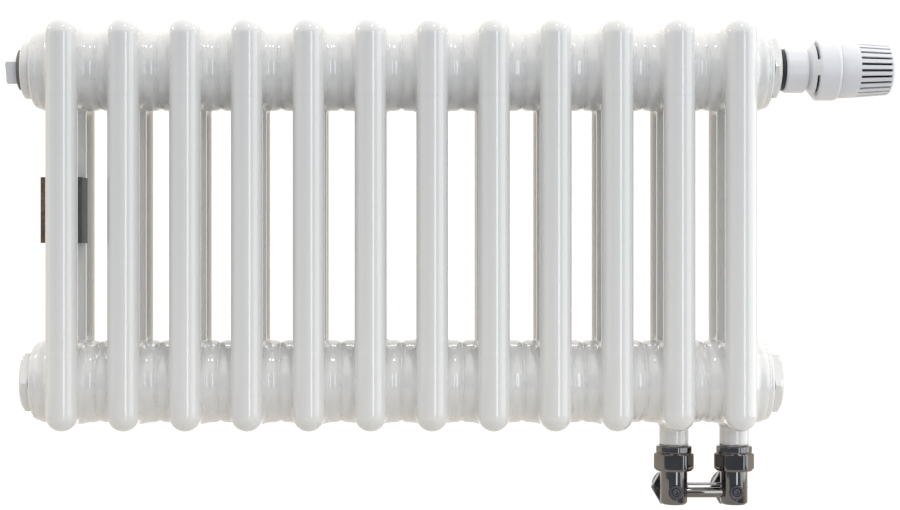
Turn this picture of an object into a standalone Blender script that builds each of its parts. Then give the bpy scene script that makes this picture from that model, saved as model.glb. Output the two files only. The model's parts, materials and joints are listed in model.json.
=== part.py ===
"""Tubular steel column radiator with a thermostatic valve and an isolating valve block.

Columns stand side by side along X and are three tubes deep along Y. The origin is
where wall brackets carry the radiator: the underside of the top header, mid-length.
"""

import math

import bmesh
import bpy
from mathutils import Matrix, Vector

MM = 0.001
GAP = 0.3 * MM
X_OUT = Vector((1, 0, 0))
Y_BACK = Vector((0, 1, 0))
Z_UP = Vector((0, 0, 1))

# Radiator block
COLUMNS = 12
PITCH = 50 * MM
ROW_SPACING = 37.5 * MM
TUBE_RADIUS = 12.9 * MM
WALL = 1.3 * MM
INTERAXIS = 258.6 * MM
HEAD_SIZE = Vector((2 * TUBE_RADIUS, 101 * MM, 76.4 * MM))
HEAD_CORNER = 14 * MM
CORNER_STEPS = 2
HUB_RADIUS = 34.35 * MM
HUB_WALL = 1.6 * MM
HUB_SIDES = 12
PORT_SIDES = 12

# Where the block's parts lie
TOP_AXIS = HUB_RADIUS
BOTTOM_AXIS = TOP_AXIS - INTERAXIS
MIDDLE = (TOP_AXIS + BOTTOM_AXIS) / 2
BLOCK_END = COLUMNS * PITCH / 2
FIRST_COLUMN = -BLOCK_END + PITCH / 2
PARTITION_X = BLOCK_END - PITCH

# End fittings, as distances outwards from the block's end
SIDES = 12
BOSS_FACE = 4.8
PORT_RADIUS = 21.3
SHANK_RADIUS = 20.7
SHANK_START = -8.0
SEAL_THICKNESS = 0.5
HEAD_START = BOSS_FACE + SEAL_THICKNESS + 0.6
HEAD_END = 13.4
VENT_END = 26.9
PLUG_TURN = math.radians(3.5)
SMALL_PORT_RADIUS = 10.7
SMALL_SHANK_RADIUS = 10.3

# Isolating valve block, as heights from the bottom header's axis
STUB_OFFSET = 1.5 * MM
STUB_X = (BLOCK_END - 1.5 * PITCH + STUB_OFFSET, BLOCK_END - 0.5 * PITCH + STUB_OFFSET)
STUB_PORT_RADIUS = 8.5 * MM
STUB_RADIUS = 12.15
STUB_TOP = -38.5
STUB_END = -53.1
COLLAR_END = -59.0
NUT_TOP = -59.3
NUT_END = -74.1
BODY_RADIUS = 11.15
BODY_END = -102.0
FLOW_AXIS = -91.2

# Valve and thermostatic head, as distances outwards from the block's end
LIFT = 2.5
SEAT_FACE = -42.0
PIN_END = 31.0
SENSOR_START = 70.0
SENSOR_END = 99.0
SLOTS = 26


def clear_scene():
    for thing in list(bpy.data.objects):
        bpy.data.objects.remove(thing)


def new_collection(name):
    group = bpy.data.collections.new(name)
    bpy.context.scene.collection.children.link(group)
    return group


clear_scene()
PARTS = new_collection("column_radiator")
CUTTERS = new_collection("cutters")


def looks(name, colour, roughness, metallic=0.0):
    """A Principled material."""
    surface = bpy.data.materials.new(name)
    surface.use_nodes = True
    shader = surface.node_tree.nodes["Principled BSDF"]
    shader.inputs["Base Color"].default_value = (*colour, 1)
    shader.inputs["Roughness"].default_value = roughness
    shader.inputs["Metallic"].default_value = metallic
    return surface


ENAMEL = looks("white_enamel", (0.82, 0.81, 0.79), 0.22)
WHITE_PLASTIC = looks("white_plastic", (0.80, 0.80, 0.79), 0.38)
DARK_PLASTIC = looks("dark_plastic", (0.02, 0.02, 0.025), 0.45)
DARK_CHROME = looks("dark_chrome", (0.12, 0.11, 0.11), 0.15, 1.0)
BRASS = looks("brass", (0.62, 0.46, 0.22), 0.3, 1.0)
STEEL = looks("steel", (0.45, 0.45, 0.46), 0.35, 1.0)
RUBBER = looks("rubber", (0.03, 0.03, 0.03), 0.7)
LABEL = looks("label_plate", (0.07, 0.06, 0.055), 0.5)


def add(name, mesh, surface, helper=False):
    """An object of this mesh, among the parts or among the hidden cutters."""
    thing = bpy.data.objects.new(name, mesh)
    if helper:
        CUTTERS.objects.link(thing)
        thing.hide_render = True
        thing.display_type = "WIRE"
        return thing
    PARTS.objects.link(thing)
    if surface and not mesh.materials:
        mesh.materials.append(surface)
    return thing


def finish_mesh(name, shape):
    mesh = bpy.data.meshes.new(name)
    shape.to_mesh(mesh)
    shape.free()
    return mesh


def aim(thing, at, towards):
    """Puts a thing's own +Z along a direction, with its origin at a point."""
    thing.location = at
    thing.rotation_euler = Z_UP.rotation_difference(towards).to_euler()


def boolean(thing, other, operation):
    change = thing.modifiers.new(f"{operation.lower()}_{other.name}", "BOOLEAN")
    change.operation = operation
    change.object = other
    change.solver = "EXACT"


def area(profile):
    """Signed area of a closed outline of (radius, along) points."""
    ahead = profile[1:] + profile[:1]
    return sum(r * b - q * a for (r, a), (q, b) in zip(profile, ahead)) / 2


def turned(name, profile, at, towards, surface, sides=SIDES, helper=False):
    """A turned piece. The profile is a closed outline in mm of (radius, along)."""
    if area(profile) > 0:
        profile = profile[::-1]
    shape = bmesh.new()
    corners = [shape.verts.new((r * MM, 0, a * MM)) for r, a in profile]
    for first, second in zip(corners, corners[1:] + corners[:1]):
        if first.co.x > 0 or second.co.x > 0:
            shape.edges.new((first, second))
    thing = add(name, finish_mesh(name, shape), surface, helper)
    spin = thing.modifiers.new("turn", "SCREW")
    spin.axis = "Z"
    spin.angle = 2 * math.pi
    spin.steps = spin.render_steps = sides
    spin.use_merge_vertices = True
    spin.merge_threshold = 0.00001
    spin.use_smooth_shade = True
    aim(thing, at, towards)
    return thing


def disc(name, radius, start, end, at, towards, surface, sides=SIDES, helper=False):
    outline = [(0, start), (radius, start), (radius, end), (0, end)]
    return turned(name, outline, at, towards, surface, sides, helper)


def ring(name, inner, outer, start, end, at, towards, surface, sides=SIDES, helper=False):
    outline = [(inner, start), (outer, start), (outer, end), (inner, end)]
    return turned(name, outline, at, towards, surface, sides, helper)


def prism(name, across_flats, corners, at, towards, turn=0.0, length=0.3):
    """A regular prism about a point and along a direction."""
    shape = bmesh.new()
    radius = across_flats / 2 / math.cos(math.pi / corners) * MM
    bmesh.ops.create_cone(
        shape, cap_ends=True, segments=corners, radius1=radius, radius2=radius, depth=length
    )
    bmesh.ops.rotate(shape, verts=shape.verts, matrix=Matrix.Rotation(turn, 3, "Z"))
    thing = add(name, finish_mesh(name, shape), None, helper=True)
    aim(thing, at, towards)
    return thing


def box(name, size, at, turn=None):
    """A cutting box of this size about a point."""
    shape = bmesh.new()
    bmesh.ops.create_cube(shape, size=1)
    bmesh.ops.scale(shape, vec=size, verts=shape.verts)
    if turn:
        bmesh.ops.rotate(shape, verts=shape.verts, matrix=turn)
    thing = add(name, finish_mesh(name, shape), None, helper=True)
    thing.location = at
    return thing


def give_flats(thing, across_flats, corners, turn=0.0):
    """Cuts flats all along a turned piece."""
    at, towards = thing.location, thing.rotation_euler.to_matrix() @ Z_UP
    flats = prism(f"{thing.name}_flats", across_flats, corners, at, towards, turn)
    boolean(thing, flats, "INTERSECT")


# Columns


def corner_arc(centre, radius, start, steps):
    """Points on a quarter circle, anticlockwise from a start angle."""
    for i in range(steps + 1):
        angle = start + math.pi / 2 * i / steps
        yield (centre[0] + radius * math.cos(angle), centre[1] + radius * math.sin(angle))


def column_plate(name, inset):
    """A column's flat shape with its edges cut to make eight-sided tubes, shrunk by an inset.

    The outline has the two heads' round corners, and two long windows between the tubes.
    """
    half_depth = HEAD_SIZE.y / 2 - HEAD_CORNER
    half_height = (INTERAXIS + HEAD_SIZE.z) / 2 - HEAD_CORNER
    outline = []
    for quarter, (sx, sy) in enumerate(((1, 1), (-1, 1), (-1, -1), (1, -1))):
        centre = (sx * half_depth, sy * half_height)
        start = quarter * math.pi / 2
        outline.append(list(corner_arc(centre, HEAD_CORNER - inset, start, CORNER_STEPS)))
    outlines = [[point for arc in outline for point in arc]]
    window_half = ROW_SPACING / 2 - TUBE_RADIUS + inset
    window_end = (INTERAXIS - HEAD_SIZE.z) / 2 + inset
    for side in (-1, 1):
        middle = side * ROW_SPACING / 2
        left, right = middle - window_half, middle + window_half
        outlines.append(
            [(left, -window_end), (right, -window_end), (right, window_end), (left, window_end)]
        )
    half_width = TUBE_RADIUS - inset
    cut = half_width * (2 - math.sqrt(2))
    flat = bpy.data.curves.new(name, "CURVE")
    flat.dimensions = "2D"
    flat.fill_mode = "BOTH"
    flat.bevel_resolution = 0
    flat.bevel_depth = cut
    flat.offset = -cut
    flat.extrude = half_width - cut
    for points in outlines:
        spline = flat.splines.new("POLY")
        spline.points.add(len(points) - 1)
        spline.use_cyclic_u = True
        for point, (x, y) in zip(spline.points, points):
            point.co = (x, y, 0, 1)
    drawn = bpy.data.objects.new(name, flat)
    CUTTERS.objects.link(drawn)
    bpy.context.view_layer.update()
    graph = bpy.context.evaluated_depsgraph_get()
    shape = bmesh.new()
    shape.from_mesh(bpy.data.meshes.new_from_object(drawn.evaluated_get(graph)))
    bpy.data.objects.remove(drawn)
    bmesh.ops.remove_doubles(shape, verts=shape.verts, dist=0.00001)
    upright = Matrix(((0, 0, 1), (1, 0, 0), (0, 1, 0)))
    bmesh.ops.rotate(shape, verts=shape.verts, matrix=upright)
    plate = add(name, finish_mesh(name, shape), None, helper=True)
    plate.location.z = MIDDLE
    return plate


def cylinder(name, radius, length, sides, at, along_x=False):
    shape = bmesh.new()
    bmesh.ops.create_cone(
        shape, cap_ends=True, segments=sides, radius1=radius, radius2=radius, depth=length
    )
    if along_x:
        quarter = Matrix.Rotation(math.pi / 2, 3, "Y")
        bmesh.ops.rotate(shape, verts=shape.verts, matrix=quarter)
    thing = add(name, finish_mesh(name, shape), None, helper=True)
    thing.location = at
    return thing


def column_mesh(name, with_port):
    """One column: two pressed heads and three tubes, hollow, open at its four hubs.

    A column with a port also has a hole for a pipe stub in its lower head.
    """
    base = column_plate(f"{name}_outside", 0)
    hubs, hollows = [], [column_plate(f"{name}_inside", WALL)]
    for level in (TOP_AXIS, BOTTOM_AXIS):
        at = Vector((0, 0, level))
        hub = cylinder(f"{name}_hub", HUB_RADIUS, PITCH - GAP, HUB_SIDES, at, along_x=True)
        hubs.append(hub)
        bore_radius = HUB_RADIUS - HUB_WALL
        bore = cylinder(f"{name}_bore", bore_radius, PITCH + GAP, HUB_SIDES, at, along_x=True)
        hollows.append(bore)
    if with_port:
        at = Vector((STUB_OFFSET, 0, BOTTOM_AXIS - HEAD_SIZE.z / 2))
        hollows.append(cylinder(f"{name}_port", STUB_PORT_RADIUS, 10 * MM, PORT_SIDES, at))
    for other in hubs:
        boolean(base, other, "UNION")
    for other in hollows:
        boolean(base, other, "DIFFERENCE")
    bpy.context.view_layer.update()
    graph = bpy.context.evaluated_depsgraph_get()
    mesh = bpy.data.meshes.new_from_object(base.evaluated_get(graph))
    mesh.transform(Matrix.Translation(base.location))
    mesh.name = name
    mesh.materials.clear()
    for helper in [base, *hubs, *hollows]:
        bpy.data.objects.remove(helper)
    return mesh


def columns():
    plain = column_mesh("plain_column", with_port=False)
    ported = column_mesh("ported_column", with_port=True)
    for number in range(1, COLUMNS + 1):
        x = FIRST_COLUMN + (number - 1) * PITCH
        is_ported = any(abs(x - stub) < PITCH / 2 for stub in STUB_X)
        column = add(f"column_{number:02d}", ported if is_ported else plain, ENAMEL)
        column.location.x = x


# End fittings


def end_point(side, level):
    return Vector((side * BLOCK_END, 0, level))


def boss(name, at, towards):
    """A welded end ring that holds the header's end thread."""
    outline = [
        (PORT_RADIUS, 0.15),
        (31.8, 0.15),
        (31.6, 2.6),
        (30.7, 3.9),
        (28.6, 4.6),
        (25.5, BOSS_FACE),
        (PORT_RADIUS, BOSS_FACE),
    ]
    turned(name, outline, at, towards, ENAMEL)


def head_seal(name, at, towards):
    start = BOSS_FACE + 0.3
    ring(name, SHANK_RADIUS + 0.3, 23.4, start, start + SEAL_THICKNESS, at, towards, RUBBER)


def end_plug(name, at, towards):
    """A blind plug, hollow on the water side, with a hexagon head."""
    outline = [
        (0, 9.4),
        (17.0, 9.4),
        (17.0, SHANK_START),
        (SHANK_RADIUS, SHANK_START),
        (SHANK_RADIUS, HEAD_START),
        (28.2, HEAD_START),
        (28.2, 9.6),
        (24.6, 11.8),
        (22.0, HEAD_END),
        (0, HEAD_END),
    ]
    plug = turned(name, outline, at, towards, ENAMEL)
    give_flats(plug, 47.6, 6, turn=PLUG_TURN if towards.x > 0 else 0)


def reducing_bush(name, at, towards, head_radius, rim, head_end, narrowing):
    """The head narrows to its rim over its last part."""
    outline = [
        (SMALL_PORT_RADIUS, SHANK_START),
        (SHANK_RADIUS, SHANK_START),
        (SHANK_RADIUS, HEAD_START),
        (head_radius, HEAD_START),
        (head_radius, head_end - narrowing),
        (rim, head_end),
        (SMALL_PORT_RADIUS, head_end),
    ]
    return turned(name, outline, at, towards, ENAMEL)


def vent():
    """Air vent at the top left: a square-headed plug with a bleed screw."""
    at = end_point(-1, TOP_AXIS)
    outwards = -X_OUT
    inner = SMALL_SHANK_RADIUS + 0.4
    outline = [(inner, 13.6), (16.7, 13.6), (16.7, 16.5), (16.1, 17.2), (inner, 17.2)]
    turned("vent_gasket", outline, at, outwards, RUBBER)
    outline = [
        (2.9, -6),
        (SMALL_SHANK_RADIUS, -6),
        (SMALL_SHANK_RADIUS, 17.5),
        (13.6, 17.5),
        (13.6, VENT_END - 1.2),
        (12.4, VENT_END),
        (2.9, VENT_END),
    ]
    plug = turned("vent_plug", outline, at, outwards, ENAMEL)
    give_flats(plug, 19.0, 4, turn=math.radians(24.5))
    outline = [(0, 2), (1.4, 2), (2.6, 4), (2.6, VENT_END - 0.5), (0, VENT_END - 0.5)]
    screw = turned("bleed_screw", outline, at, outwards, BRASS, sides=12)
    slot = box("bleed_slot", (2.4 * MM, 8 * MM, 0.9 * MM), at - X_OUT * VENT_END * MM)
    boolean(screw, slot, "DIFFERENCE")


def end_fittings():
    corners = {
        "top_left": (-1, TOP_AXIS),
        "bottom_left": (-1, BOTTOM_AXIS),
        "top_right": (1, TOP_AXIS),
        "bottom_right": (1, BOTTOM_AXIS),
    }
    for corner, (side, level) in corners.items():
        at = end_point(side, level)
        boss(f"boss_{corner}", at, side * X_OUT)
        head_seal(f"seal_{corner}", at, side * X_OUT)
    for side, corner in ((-1, "bottom_left"), (1, "bottom_right")):
        end_plug(f"plug_{corner}", end_point(side, BOTTOM_AXIS), side * X_OUT)
    reducing_bush("bush_top_left", end_point(-1, TOP_AXIS), -X_OUT, 24.5, 21.4, 13.2, 2.4)
    bush = reducing_bush("bush_top_right", end_point(1, TOP_AXIS), X_OUT, 28.6, 23.5, 12.2, 3.0)
    give_flats(bush, 49, 6)
    vent()


# Water path inside the headers


def partitions():
    """Discs in the hubs before the last column, so that all the flow passes the valve."""
    reach = (HUB_RADIUS - HUB_WALL) / MM - 0.5
    top = Vector((PARTITION_X, 0, TOP_AXIS))
    ring("seat_partition", 8.6, reach, -1, 1, top, X_OUT, STEEL)
    bottom = Vector((PARTITION_X, 0, BOTTOM_AXIS))
    disc("blanking_disc", reach, -1, 1, bottom, X_OUT, STEEL)


def coil(name, at, towards, radius, wire, start, end, turns, surface):
    """A compression spring about an axis, closed by its first and last turns."""
    steps = 8
    guide = bpy.data.curves.new(name, "CURVE")
    guide.dimensions = "3D"
    guide.bevel_depth = wire / 2 * MM
    guide.bevel_resolution = 0
    guide.use_fill_caps = True
    spline = guide.splines.new("POLY")
    count = int(turns * steps) + 1
    spline.points.add(count - 1)
    for i, point in enumerate(spline.points):
        angle = 2 * math.pi * i / steps
        along = start + wire / 2 + (end - start - wire) * i / (count - 1)
        point.co = (radius * math.cos(angle) * MM, radius * math.sin(angle) * MM, along * MM, 1)
    guide.materials.append(surface)
    spring = bpy.data.objects.new(name, guide)
    PARTS.objects.link(spring)
    aim(spring, at, towards)


def valve_insert():
    """The valve in the top header: seat, disc on a sprung spindle, gland and ring."""
    at = end_point(1, TOP_AXIS)
    outline = [
        (4.5, -55),
        (4.5, SEAT_FACE),
        (6.8, SEAT_FACE),
        (6.8, -22),
        (3.2, -22),
        (3.2, -19),
        (5.7, -19),
        (5.7, 29.6),
        (14.9, 29.6),
        (14.9, HEAD_END + 0.4),
        (SMALL_SHANK_RADIUS, HEAD_END + 0.4),
        (SMALL_SHANK_RADIUS, -9),
        (9.6, -9),
        (9.6, -45),
        (8.1, -45),
        (8.1, -55),
    ]
    body = turned("insert_body", outline, at, X_OUT, BRASS)
    middle = at + X_OUT * (SEAT_FACE + 10) * MM
    for name, size in (("upright", (13, 5.4, 24)), ("level", (13, 24, 5.4))):
        window = box(f"insert_window_{name}", Vector(size) * MM, middle)
        boolean(body, window, "DIFFERENCE")
    ring("lock_ring", 15.3, 17.0, HEAD_END + 0.4, 16.8, at, X_OUT, DARK_PLASTIC)
    ring("insert_gland", 3.2, 5.4, 4, 26, at, X_OUT, BRASS)
    rest_face = SEAT_FACE + LIFT + 0.3
    disc("valve_disc", 6.1, rest_face, rest_face + 2.5, at, X_OUT, RUBBER)
    foot = rest_face + 2.8
    outline = [
        (0, foot),
        (5.0, foot),
        (5.0, foot + 1.4),
        (2.5, foot + 1.4),
        (2.5, -3.0),
        (5.2, -3.0),
        (5.2, -1.5),
        (2.5, -1.5),
        (2.5, PIN_END),
        (0, PIN_END),
    ]
    turned("valve_spindle", outline, at, X_OUT, STEEL)
    coil("return_spring", at, X_OUT, 4.1, 0.9, -18.6, -3.4, 5, STEEL)


# Thermostatic head


def union_nut(at):
    outline = [
        (15.3, 17.1),
        (17.7, 17.1),
        (18.8, 18.3),
        (18.8, 33.4),
        (17.2, 35.2),
        (14.2, 35.2),
        (14.2, 31.8),
        (15.3, 31.8),
    ]
    turned("head_union_nut", outline, at, X_OUT, WHITE_PLASTIC)


def head_base(at):
    """The head's fixed base: neck, cone, outer ring, and the sleeve that guides the sensor."""
    outline = [
        (9.5, 29.9),
        (14.9, 29.9),
        (14.9, 31.5),
        (13.8, 31.5),
        (13.8, 36.1),
        (25.35, 44.2),
        (25.35, 61.4),
        (23.6, 61.4),
        (23.6, 47.0),
        (20.0, 47.0),
        (20.0, 76.0),
        (18.4, 76.0),
        (18.4, 45.0),
        (9.5, 45.0),
    ]
    base = turned("head_base", outline, at, X_OUT, WHITE_PLASTIC)
    slit = ring("slit_cutter", 21.6, 27, 43.0, 44.6, at, X_OUT, None, helper=True)
    for number in range(2):
        quarter = Matrix.Rotation(number * math.pi / 2, 3, "X")
        size = Vector((10, 60, 12.9)) * MM
        bridge = box(f"slit_bridge_{number}", size, at + X_OUT * 43.8 * MM, quarter)
        boolean(slit, bridge, "DIFFERENCE")
    boolean(base, slit, "DIFFERENCE")


def handwheel(at):
    """The turning cap, with a ring of long air slots."""
    outline = [
        (21.7, 61.9),
        (23.5, 61.9),
        (23.0, 75.5),
        (20.9, 103.0),
        (18.6, 105.5),
        (0, 105.5),
        (0, 103.5),
        (17.8, 103.5),
        (19.2, 102.4),
        (21.2, 75.5),
    ]
    wheel = turned("handwheel", outline, at, X_OUT, WHITE_PLASTIC, sides=SLOTS)
    wheel.rotation_euler.rotate_axis("Z", math.pi / SLOTS)
    cutter = bmesh.new()
    reach = Vector((25.9, 2.0, 6.0)) * MM
    for number in range(SLOTS):
        made = bmesh.ops.create_cube(cutter, size=1)["verts"]
        bmesh.ops.scale(cutter, vec=reach, verts=made)
        bmesh.ops.translate(cutter, vec=(90.05 * MM, 0, 21.2 * MM), verts=made)
        turn = Matrix.Rotation(2 * math.pi * number / SLOTS, 3, "X")
        bmesh.ops.rotate(cutter, verts=made, matrix=turn)
    slots = add("slot_cutter", finish_mesh("slot_cutter", cutter), None, helper=True)
    slots.location = at
    boolean(wheel, slots, "DIFFERENCE")


def thermostatic_head():
    at = end_point(1, TOP_AXIS)
    union_nut(at)
    head_base(at)
    handwheel(at)
    outline = [
        (0, SENSOR_START),
        (8.0, SENSOR_START),
        (17.0, SENSOR_START + 4),
        (17.0, SENSOR_END - 2),
        (15.0, SENSOR_END),
        (0, SENSOR_END),
    ]
    turned("sensor_cartridge", outline, at, X_OUT, DARK_PLASTIC)
    pin_start = PIN_END + 0.3
    outline = [
        (0, pin_start),
        (3.0, pin_start),
        (3.0, 48.0),
        (6.0, 48.0),
        (6.0, 50.0),
        (3.0, 50.0),
        (3.0, SENSOR_START - 0.3),
        (0, SENSOR_START - 0.3),
    ]
    turned("push_pin", outline, at, X_OUT, STEEL)
    coil("overtravel_spring", at, X_OUT, 5.0, 1.2, 50.5, SENSOR_START - 0.5, 5, STEEL)


# Isolating valve block


def below(x, y=0.0):
    """A point on the bottom header's level, from which heights are counted."""
    return Vector((x, y, BOTTOM_AXIS))


def valve_body(name, x):
    """An angle valve body: a neck and flange at the top, an outlet thread at the back."""
    at = below(x)
    outline = [
        (0, BODY_END),
        (BODY_RADIUS - 1.4, BODY_END),
        (BODY_RADIUS, BODY_END + 1.4),
        (BODY_RADIUS, NUT_END + 2.3),
        (12.8, NUT_END + 2.3),
        (12.8, NUT_END + 4.0),
        (0, NUT_END + 4.0),
    ]
    body = turned(name, outline, at, Z_UP, DARK_CHROME)
    axis = at + Z_UP * FLOW_AXIS * MM
    outline = [
        (0, 1.0),
        (9.8, 1.0),
        (9.8, 23.0),
        (13.1, 23.0),
        (13.1, 39.0),
        (0, 39.0),
    ]
    outlet = turned(f"{name}_outlet", outline, axis, Y_BACK, None, sides=14, helper=True)
    boolean(body, outlet, "UNION")
    middle = axis + Y_BACK * 22.7 * MM
    collar = prism(f"{name}_collar", 27.5, 6, middle, Y_BACK, math.pi / 2, 7.5 * MM)
    boolean(body, collar, "UNION")
    bore_start, bore_end = FLOW_AXIS - 8, NUT_END + 6
    bore = disc(f"{name}_bore", 7.6, bore_start, bore_end, at, Z_UP, None, helper=True)
    flow = disc(f"{name}_flow", 7.1, 3.0, 45.0, axis, Y_BACK, None, sides=10, helper=True)
    keyhole = disc(f"{name}_keyhole", 5.4, 3.0, 20.0, axis, -Y_BACK, None, sides=10, helper=True)
    for hollow in (bore, flow, keyhole):
        boolean(body, hollow, "DIFFERENCE")


def isolator(name, x):
    """A ball with an angled way through it, its spindle, and the gland at the front."""
    axis = below(x) + Z_UP * FLOW_AXIS * MM
    shape = bmesh.new()
    bmesh.ops.create_uvsphere(shape, u_segments=12, v_segments=8, radius=6.6 * MM)
    ball = add(f"{name}_ball", finish_mesh(f"{name}_ball", shape), STEEL)
    ball.location = axis
    inlet = disc(f"{name}_inlet", 3.4, 0, 12, axis, Z_UP, None, sides=8, helper=True)
    boolean(ball, inlet, "DIFFERENCE")
    outlet = disc(f"{name}_way", 3.3, -1, 12, axis, Y_BACK, None, sides=8, helper=True)
    boolean(ball, outlet, "DIFFERENCE")
    outline = [(0, 6.9), (3.0, 6.9), (3.0, 12.4), (0, 12.4)]
    spindle = turned(f"{name}_spindle", outline, axis, -Y_BACK, STEEL, sides=12)
    socket = prism(f"{name}_socket", 3.0, 6, axis - Y_BACK * 160 * MM, -Y_BACK)
    boolean(spindle, socket, "DIFFERENCE")
    outline = [(3.4, 8.4), (4.9, 8.4), (4.9, 11.5), (6.2, 11.5), (6.2, 12.9), (3.4, 12.9)]
    turned(f"{name}_gland", outline, axis, -Y_BACK, DARK_CHROME)


def pipe_union(name, x):
    """Stub, nipple, union nut and sealing cone, from the header down to the valve body."""
    at = below(x)
    ring(f"{name}_stub", SMALL_PORT_RADIUS, STUB_RADIUS, STUB_END, STUB_TOP, at, Z_UP, ENAMEL)
    outline = [
        (7.5, NUT_END + 7.0),
        (13.0, NUT_END + 7.0),
        (13.0, COLLAR_END),
        (14.9, COLLAR_END),
        (14.9, STUB_END - 0.3),
        (SMALL_SHANK_RADIUS, STUB_END - 0.3),
        (SMALL_SHANK_RADIUS, STUB_TOP - 3),
        (7.5, STUB_TOP - 3),
    ]
    turned(f"{name}_nipple", outline, at, Z_UP, DARK_CHROME, sides=12)
    ring(f"{name}_cone_seal", 8.0, 12.4, NUT_END + 4.4, NUT_END + 6.6, at, Z_UP, RUBBER, sides=12)
    outline = [
        (13.6, NUT_TOP),
        (16.4, NUT_TOP),
        (16.4, NUT_END + 1.5),
        (14.8, NUT_END),
        (11.6, NUT_END),
        (11.6, NUT_END + 1.9),
        (13.6, NUT_END + 1.9),
    ]
    nut = turned(f"{name}_union_nut", outline, at, Z_UP, DARK_CHROME)
    give_flats(nut, 29.4, 6, turn=math.radians(82))


def valve_block():
    for name, x in zip(("return", "supply"), STUB_X):
        pipe_union(name, x)
        valve_body(f"{name}_valve_body", x)
        isolator(name, x)
    reach = PITCH / MM / 2 - BODY_RADIUS - 0.3
    middle = Vector((sum(STUB_X) / 2, 0, BOTTOM_AXIS + (FLOW_AXIS - 1.3) * MM))
    ring("bypass_tube", 3.0, 4.3, -reach, reach, middle, X_OUT, DARK_CHROME)
    tie = middle + Vector((0, 8.0, 5.9)) * MM
    span = PITCH / MM / 2 - 9.6
    disc("tie_rod", 1.2, -span, span, tie, X_OUT, STEEL, sides=8)


# Label plate behind the first column's front tube


def label_plate():
    shape = bmesh.new()
    bmesh.ops.create_grid(shape, x_segments=4, y_segments=1, size=0.5)
    height = 54 * MM
    # Across the plate: a short wing at the left, and one that turns back round the middle tube
    stations = {-2: (-20.4, 2.2), -1: (-9.6, 0), 0: (0, 0), 1: (12.9, 0), 2: (13.7, 22)}
    for point in shape.verts:
        x, back = stations[round(point.co.x * 4)]
        point.co = (x * MM, back * MM, point.co.y * height)
    plate = add("label_plate", finish_mesh("label_plate", shape), LABEL)
    thick = plate.modifiers.new("sheet", "SOLIDIFY")
    thick.thickness = 1.2 * MM
    thick.offset = 0
    behind_tube = -ROW_SPACING + TUBE_RADIUS + 1.2 * MM
    plate.location = (FIRST_COLUMN, behind_tube, MIDDLE + 12.3 * MM)


columns()
end_fittings()
partitions()
valve_insert()
thermostatic_head()
valve_block()
label_plate()
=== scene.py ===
"""Looks for the column radiator: smooth pieces, materials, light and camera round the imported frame."""

import json
import math

import bmesh
import bpy
import numpy as np
from mathutils import Matrix, Vector


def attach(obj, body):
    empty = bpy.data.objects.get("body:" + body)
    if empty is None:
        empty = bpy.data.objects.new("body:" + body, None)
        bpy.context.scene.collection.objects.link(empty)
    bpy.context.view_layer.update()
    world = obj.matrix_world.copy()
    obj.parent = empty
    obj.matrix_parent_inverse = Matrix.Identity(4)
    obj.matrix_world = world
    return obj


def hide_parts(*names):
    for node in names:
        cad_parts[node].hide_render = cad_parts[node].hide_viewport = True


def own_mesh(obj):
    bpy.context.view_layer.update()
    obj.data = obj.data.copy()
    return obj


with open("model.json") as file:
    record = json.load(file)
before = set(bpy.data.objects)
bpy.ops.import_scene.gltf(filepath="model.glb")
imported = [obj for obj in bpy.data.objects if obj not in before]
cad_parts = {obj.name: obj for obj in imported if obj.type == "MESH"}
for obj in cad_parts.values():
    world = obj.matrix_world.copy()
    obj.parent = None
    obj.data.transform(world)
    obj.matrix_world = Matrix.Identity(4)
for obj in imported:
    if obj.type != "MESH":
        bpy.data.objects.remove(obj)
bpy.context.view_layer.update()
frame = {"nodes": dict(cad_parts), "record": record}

MM = 0.001
X_OUT = Vector((1, 0, 0))
Y_BACK = Vector((0, 1, 0))
Z_UP = Vector((0, 0, 1))
SCENE = bpy.context.scene

# Sizes in mm, the CAD's own or within half a millimetre of them, from the underside of the top
# hubs and the middle of the block
COLUMNS = 12
PITCH = 50.0
ROW_SPACING = 37.5
TUBE_RADIUS = 12.9
INTERAXIS = 258.6
HEAD_DEPTH = 101.0
HEAD_HEIGHT = 76.4
HEAD_CORNER = 14.0
HUB_RADIUS = 34.35
HUB_END = PITCH / 2 - 0.1
TOP_AXIS = HUB_RADIUS
BOTTOM_AXIS = TOP_AXIS - INTERAXIS
MIDDLE = (TOP_AXIS + BOTTOM_AXIS) / 2
BLOCK_END = COLUMNS * PITCH / 2
FIRST_COLUMN = -BLOCK_END + PITCH / 2
STUB_OFFSET = 1.5
STUB_RADIUS = 12.15

# Down from the bottom header's axis, and the valves' outlets as a height from it
STUB_END = 53.1
FLOW_AXIS = -91.2

# Outwards from the block's end: plug heads and the air vent
HEAD_START = 5.4
HEAD_END = 13.4
VENT_END = 26.9


# Camera and light

CAMERA_PLACE = (0.0055, -1.3965, -0.12025)
CAMERA_LENS = 67.16
CAMERA_SHIFT = (0.04656, 0.0011)
SENSOR_WIDTH = 36
FARTHEST_SEEN = 50
LIT_POINT = Vector((0, 0, -0.1))
FLOOR_LEVEL = -0.45
FLOOR_RADIUS = 0.74
WORLD_FRONT = (0.20, 0.222, 0.26)
WORLD_SIDE = (0.84, 0.78, 0.685)
WORLD_ABOVE = (1.2, 1.18, 1.14)
WORLD_BEHIND = (1.10, 1.09, 1.08)


def make_camera():
    data = bpy.data.cameras.new("camera")
    data.sensor_width = SENSOR_WIDTH
    data.lens = CAMERA_LENS
    data.shift_x, data.shift_y = CAMERA_SHIFT
    data.clip_end = FARTHEST_SEEN
    camera = bpy.data.objects.new("camera", data)
    camera.location = CAMERA_PLACE
    camera.rotation_euler = (math.pi / 2, 0, 0)
    SCENE.collection.objects.link(camera)
    SCENE.camera = camera


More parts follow.
